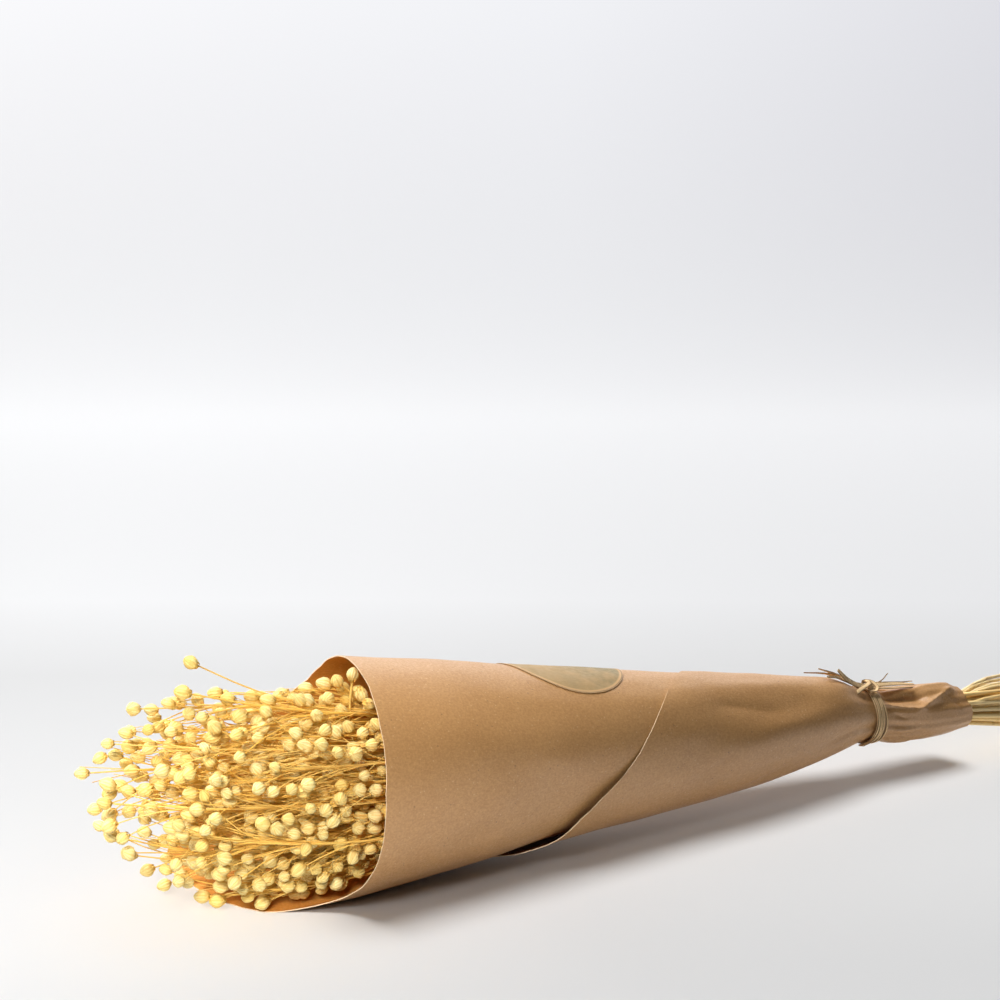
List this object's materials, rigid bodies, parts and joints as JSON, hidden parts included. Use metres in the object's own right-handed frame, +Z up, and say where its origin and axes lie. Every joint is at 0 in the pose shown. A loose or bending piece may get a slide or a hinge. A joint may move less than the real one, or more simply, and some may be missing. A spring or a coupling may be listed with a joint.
{
  "type": "dried flax bunch",
  "caption": "Bunch of dried flax with round seed heads, rolled in a cone of brown kraft paper with a plain round label, tied with raffia and lying on its side.",
  "frame": {"origin": "on the table, under the middle of the bunch's overall box", "axes": "+X along the bunch towards the cut stems, +Y towards the side on which the paper's lower lip lies open, +Z up from the table"},
  "size_m": [0.6306, 0.1397, 0.1316],
  "materials": {
    "kraft_paper": "matt brown kraft, lightly creased",
    "label": "matt printed paper, no lettering",
    "raffia": "dry natural fibre",
    "flax": "dry straw, matt to satin"
  },
  "bodies": {
    "root": {"paper_wrap": "kraft_paper", "round_label": "label", "raffia_tie": "raffia", "flax_stalk_01": "flax", "flax_stalk_02": "flax", "flax_stalk_03": "flax", "flax_stalk_04": "flax", "flax_stalk_05": "flax", "flax_stalk_06": "flax", "flax_stalk_07": "flax", "flax_stalk_08": "flax", "flax_stalk_09": "flax", "flax_stalk_10": "flax", "flax_stalk_11": "flax", "flax_stalk_12": "flax", "flax_stalk_13": "flax", "flax_stalk_14": "flax", "flax_stalk_15": "flax", "flax_stalk_16": "flax", "flax_stalk_17": "flax", "flax_stalk_18": "flax", "flax_stalk_19": "flax", "flax_stalk_20": "flax", "flax_stalk_21": "flax", "flax_stalk_22": "flax", "flax_stalk_23": "flax", "flax_stalk_24": "flax", "flax_stalk_25": "flax", "flax_stalk_26": "flax", "flax_stalk_27": "flax"}
  },
  "joints": []
}
